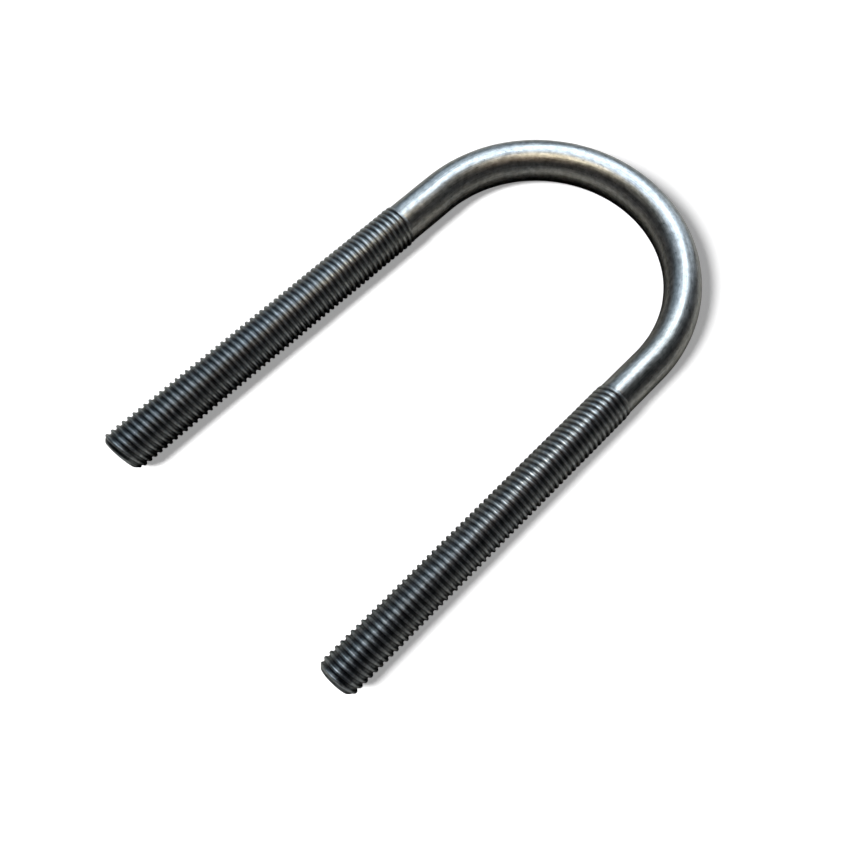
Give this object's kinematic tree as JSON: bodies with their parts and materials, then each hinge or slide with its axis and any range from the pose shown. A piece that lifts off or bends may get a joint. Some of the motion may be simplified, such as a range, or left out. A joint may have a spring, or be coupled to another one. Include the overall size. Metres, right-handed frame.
{
  "type": "u-bolt",
  "caption": "Bare steel U-bolt: a round bar bent into a half circle with two long parallel legs, both threaded almost up to the bend.",
  "frame": {"origin": "centre of the bow's half circle, on the middle plane of the bar, where the centre of a clamped pipe lies", "axes": "+Z through the bar's thickness and along the clamped pipe, +Y towards the crown of the bow, the legs point to -Y, +X across the two legs"},
  "size_m": [0.0972, 0.1682, 0.012],
  "materials": {
    "bright_steel": "drawn and thread-rolled steel, satin on the bow and darker in the thread's roots"
  },
  "bodies": {
    "root": {"u_bolt": "bright_steel"}
  },
  "joints": []
}
